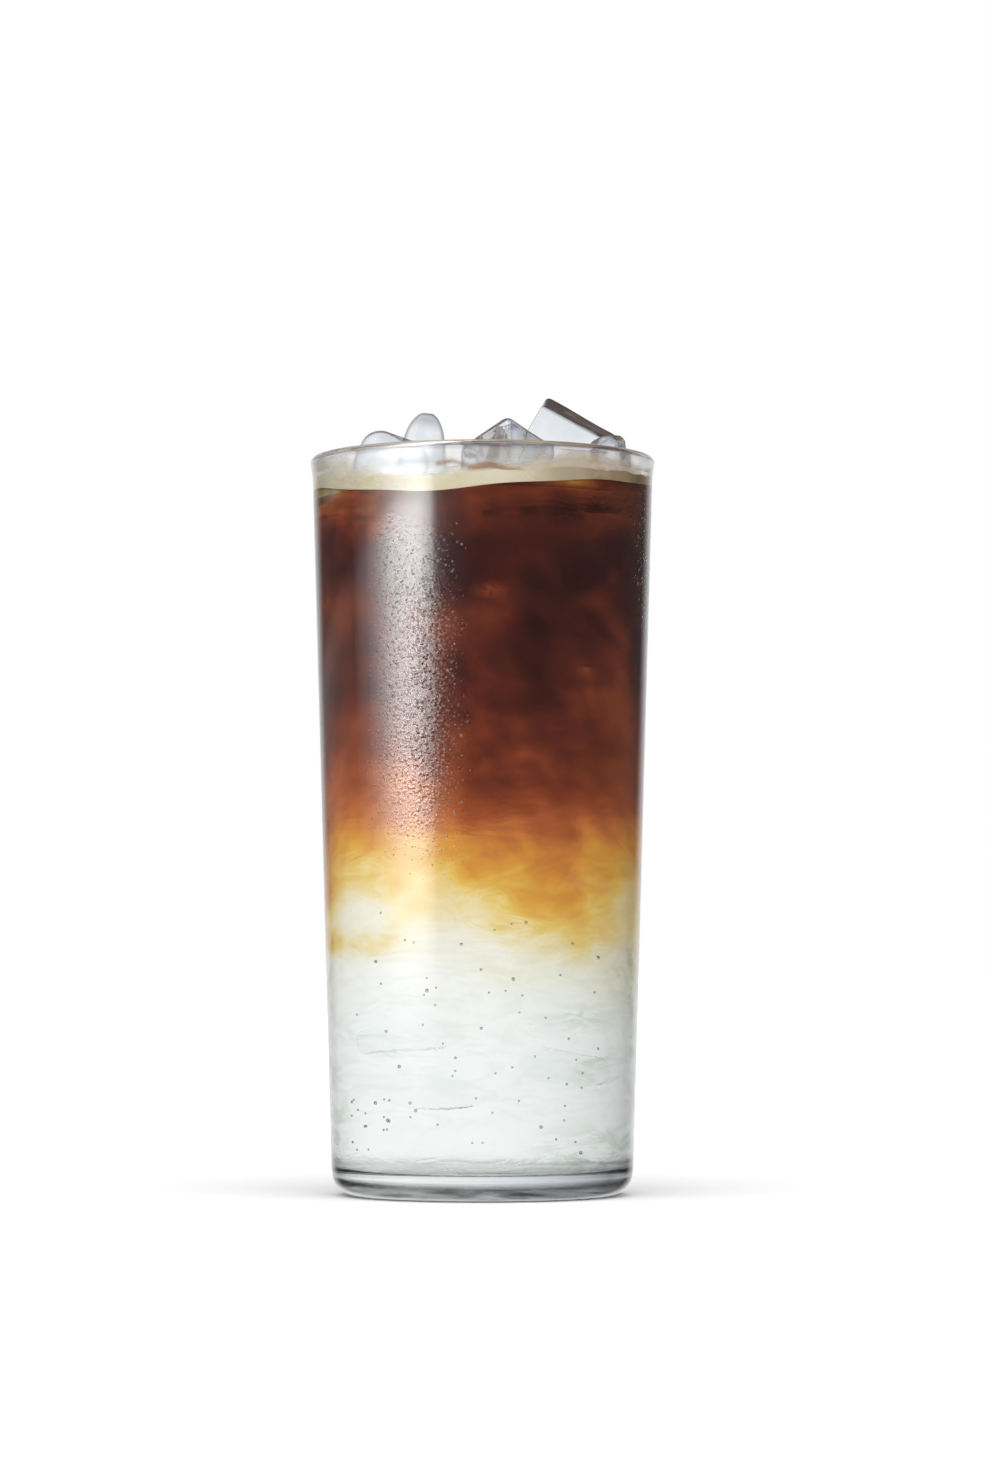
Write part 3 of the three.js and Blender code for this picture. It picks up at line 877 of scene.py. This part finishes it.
water, tree, shader = new_material("condensed_water", Transmission_Weight=0.96, IOR=1.25, Roughness=0.28,
                                   Coat_Weight=0.8)
place = add(tree, "ShaderNodeTexCoord")
shimmer = add(tree, "ShaderNodeTexNoise", Scale=900, Vector=place.outputs["Object"])
clear = ramp(tree, shimmer.outputs["Fac"], [(0.3, (0.90, 0.87, 0.86)), (0.7, (0.98, 0.97, 0.96))])
tree.links.new(clear.outputs["Color"], shader.inputs["Base Color"])
mist = wall_patch("condensation", wall_outside, np.linspace(60 * mm, 150 * mm, 60), misted)
bead_over(mist, water, Per_Square_Metre=4.4e6, Smallest=0.22 * mm, Largest=0.66 * mm, Flatness=0.06,
          Nearest=-0.02 * mm, Farthest=0.0, Seed=4)
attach(mist, "root")


# Bubbles: carbon dioxide that has gathered on the inside of the wall low in the tonic water,
# and air caught in small clusters high in the coffee.
def fizzing(x, y, z):
    """How thickly bubbles sit at a place on the wall beside the tonic water, from 0 to 1, in mm."""
    low_left = soft_band(x, -27, -14, 4) * (y < 0) * soft_band(z, 9, 21, 3)
    side = 0.5 * soft_band(x, -27, -23, 2) * (y < 0) * soft_band(z, 38, 44, 3)
    sparse = 0.2 * soft_band(x, -23, 25, 3) * (y < 0) * soft_band(z, 8, 60, 4)
    return np.maximum(np.maximum(low_left, side), sparse)


# Clusters of bubbles at the front of the coffee: x, z and half width, in mm.
clusters_at = [(1.1, 126, 2.2), (21, 110, 1.8), (8.4, 92.6, 1.6), (-21.6, 102, 1.8), (-25, 128, 1.6)]


def clustered(x, y, z):
    """How thickly bubbles cluster at a place beside the coffee. Behind are the same ones, upside down."""
    wet = np.zeros(len(x))
    for at_x, at_z, size in clusters_at:
        near = spot(x, z, at_x, at_z, size, size)
        wet = np.maximum(wet, near * (y < 0))
        wet = np.maximum(wet, 0.7 * near[::-1] * (y > 0))
    return wet


gas, tree, shader = new_material("gas_bubble", Transmission_Weight=1, IOR=0.76, Roughness=0.0)
place = add(tree, "ShaderNodeTexCoord")
shimmer = add(tree, "ShaderNodeTexNoise", Scale=300, Vector=place.outputs["Object"])
# Painted shade: the clear gas is tinted grey, so the bubbles show as small grey dots.
painted_bubble_shade = ramp(tree, shimmer.outputs["Fac"], [(0.35, (0.62, 0.65, 0.67)), (0.65, (0.86, 0.88, 0.88))])
tree.links.new(painted_bubble_shade.outputs["Color"], shader.inputs["Base Color"])
fizz = wall_patch("tonic_bubbles", wall_inside, np.linspace(9 * mm, 62 * mm, 50), fizzing, inwards=True)
bead_over(fizz, gas, Per_Square_Metre=1.2e5, Smallest=0.5 * mm, Largest=1.0 * mm, Flatness=1.0,
          Nearest=0.2 * mm, Farthest=1.2 * mm, Seed=2)
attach(fizz, "root")
cluster_rows = np.linspace(84 * mm, 136 * mm, 90)
clusters = wall_patch("coffee_bubbles", wall_inside, cluster_rows, clustered, inwards=True)
bead_over(clusters, gas, Per_Square_Metre=9e5, Smallest=0.35 * mm, Largest=1.0 * mm, Flatness=1.0,
          Nearest=0.25 * mm, Farthest=1.2 * mm, Seed=6)
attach(clusters, "root")


# The setting: a white table in front of a white wall that darkens to both sides, which draws the
# edges of the glass, and a tall softbox on the left that shows as one strip down the wall.
table, tree, shader = new_material("white_table", Base_Color=(0.92, 0.92, 0.92, 1), Roughness=0.9,
                                   Specular_IOR_Level=0)
TABLE_HALF = 9
TABLE_TOP = -0.2 * mm  # just under the foot
corners = [(x * TABLE_HALF, y * TABLE_HALF, TABLE_TOP) for x, y in ((-1, -1), (1, -1), (1, 1), (-1, 1))]
board = piece_of("table", corners, [(0, 1, 2, 3)])
board.data.materials.append(table)
board.visible_glossy = False
board.visible_transmission = False

world = bpy.data.worlds.new("white_studio")
bpy.context.scene.world = world
world.use_nodes = True
tree = world.node_tree
way = add(tree, "ShaderNodeTexCoord")
parts = add(tree, "ShaderNodeSeparateXYZ", Vector=way.outputs["Generated"])
bearing = add(tree, "ShaderNodeMath", operation="ARCTAN2",
              at={0: parts.outputs["X"], 1: parts.outputs["Y"]})
whole_turn = add(tree, "ShaderNodeMapRange", From_Min=-math.pi, From_Max=math.pi,
                 Value=bearing.outputs["Value"])
# Light of the wall by bearing in degrees, 0 straight behind the tumbler, and by the slope of the ray.
wall_light = [
    (-180, 1.2), (-110, 1.1), (-80, 0.8), (-60, 0.7), (-52, 0.58), (-46, 0.42), (-39, 0.56),
    (-30, 0.68), (-22, 0.78), (-11, 0.9), (0, 0.98), (25, 1.0), (33, 0.95), (39, 0.93), (45, 0.9),
    (52, 0.86), (60, 0.8), (70, 0.8), (85, 0.9), (110, 1.1), (180, 1.2),
]
slope_light = [
    (-1.0, 0.9), (-0.6, 0.85), (-0.45, 0.72), (-0.35, 0.75), (-0.25, 0.95), (-0.12, 1.0), (0.12, 1.0),
    (0.3, 0.75), (0.5, 0.6), (1.0, 0.5),
]


def grey_ramp(tree, fac, lights, start, span):
    """A ramp of grey light over a stretch of degrees or slopes that starts at start and is span long."""
    return ramp(tree, fac, [((place - start) / span, (light,) * 3) for place, light in lights])


through = grey_ramp(tree, whole_turn.outputs["Result"], wall_light, -180, 360)
by_height = add(tree, "ShaderNodeMapRange", From_Min=-1, Value=parts.outputs["Z"])
by_slope = grey_ramp(tree, by_height.outputs["Result"], slope_light, -1, 2)
through_glass = add(tree, "ShaderNodeMath", operation="MULTIPLY",
                    at={0: through.outputs["Color"], 1: by_slope.outputs["Color"]})

# Light of the softbox by bearing in degrees, 0 straight before the tumbler, and by the slope of the ray.
STRIP_BRIGHTNESS = 19.5
strip_light = [
    (-100, 0.02), (-87, 0.10), (-80, 0.20), (-74, 0.33), (-66, 0.62), (-60, 0.85), (-50, 1.0),
    (-44, 0.95), (-39, 0.7), (-35, 0.45), (-33, 0.2), (-30, 0.08), (-24, 0.035), (-14, 0.015), (0, 0.004),
]
strip_slopes = [
    (-0.105, 0.0), (-0.07, 0.06), (-0.059, 0.12), (-0.045, 0.27), (-0.038, 0.36), (-0.024, 0.47),
    (-0.006, 0.6), (0.012, 0.76), (0.03, 0.9), (0.043, 1.0), (0.047, 0.9), (0.054, 0.4), (0.08, 0.25),
]
in_front = add(tree, "ShaderNodeMath", operation="MULTIPLY", at={0: parts.outputs["Y"], 1: -1})
sideways = add(tree, "ShaderNodeMath", operation="ARCTAN2",
               at={0: parts.outputs["X"], 1: in_front.outputs["Value"]})
left_half = add(tree, "ShaderNodeMapRange", From_Min=-math.pi, From_Max=0, Value=sideways.outputs["Value"])
strip = grey_ramp(tree, left_half.outputs["Result"], strip_light, -180, 180)
strip_rise = add(tree, "ShaderNodeMapRange", From_Min=-0.12, From_Max=0.08, Value=parts.outputs["Z"])
strip_height = grey_ramp(tree, strip_rise.outputs["Result"], strip_slopes, -0.12, 0.2)
upper_part = add(tree, "ShaderNodeMapRange", interpolation_type="SMOOTHSTEP", From_Min=0.09, From_Max=0.2,
                 Value=parts.outputs["Z"])
whole_strip = add(tree, "ShaderNodeMath", operation="ADD",
                  at={0: strip_height.outputs["Color"], 1: upper_part.outputs["Result"]})
bright_strip = add(tree, "ShaderNodeMath", operation="MULTIPLY",
                   at={0: whole_strip.outputs["Value"], 1: STRIP_BRIGHTNESS})
softbox = add(tree, "ShaderNodeMath", operation="MULTIPLY",
              at={0: strip.outputs["Color"], 1: bright_strip.outputs["Value"]})
backdrop = add(tree, "ShaderNodeMapRange", interpolation_type="SMOOTHSTEP", From_Min=0.78, From_Max=0.96,
               To_Min=0.10, To_Max=0.9, Value=parts.outputs["Y"])
behind = add(tree, "ShaderNodeMath", operation="MAXIMUM",
             at={0: softbox.outputs["Value"], 1: backdrop.outputs["Result"]})
ray = add(tree, "ShaderNodeLightPath")
mirrored = add(tree, "ShaderNodeMix", A=1.0, Factor=ray.outputs["Is Glossy Ray"], B=behind.outputs["Value"])
refracted = add(tree, "ShaderNodeMix", Factor=ray.outputs["Is Transmission Ray"],
                A=mirrored.outputs["Result"], B=through_glass.outputs["Value"])
from_matt = add(tree, "ShaderNodeMath", operation="GREATER_THAN",
                at={0: ray.outputs["Diffuse Depth"], 1: 0.5})
from_front = add(tree, "ShaderNodeMath", operation="MULTIPLY_ADD",
                 at={0: parts.outputs["Y"], 1: -2.05, 2: 0.35})
from_above = add(tree, "ShaderNodeMath", operation="MULTIPLY_ADD",
                 at={0: parts.outputs["Z"], 1: 1.3, 2: from_front.outputs["Value"]})
overhead = add(tree, "ShaderNodeMath", operation="MAXIMUM", at={0: from_above.outputs["Value"], 1: 0.02})
chosen = add(tree, "ShaderNodeMix", B=overhead.outputs["Value"], Factor=from_matt.outputs["Value"],
             A=refracted.outputs["Result"])
tree.links.new(chosen.outputs["Result"], tree.nodes["Background"].inputs["Strength"])
tree.nodes["Background"].inputs["Color"].default_value = (1, 1, 1, 1)

# Light crosses many clear faces on its way through glass, drink and ice.
scene = bpy.context.scene
scene.view_settings.view_transform = "Standard"
scene.cycles.max_bounces = 18
scene.cycles.transmission_bounces = 18
scene.cycles.adaptive_threshold = 0.02
scene.cycles.glossy_bounces = 8


# The camera: a long lens a little under a metre away, lower than the middle of the tumbler.
camera = bpy.data.objects.new("camera", bpy.data.cameras.new("camera"))
scene.collection.objects.link(camera)
camera.data.lens = 107.1
camera.data.sensor_width = 36
camera.location = (0, -0.94, 0.052)
aim = Vector((0.00245, 0, 0.0965)) - camera.location
camera.rotation_euler = aim.to_track_quat("-Z", "Y").to_euler()
scene.camera = camera
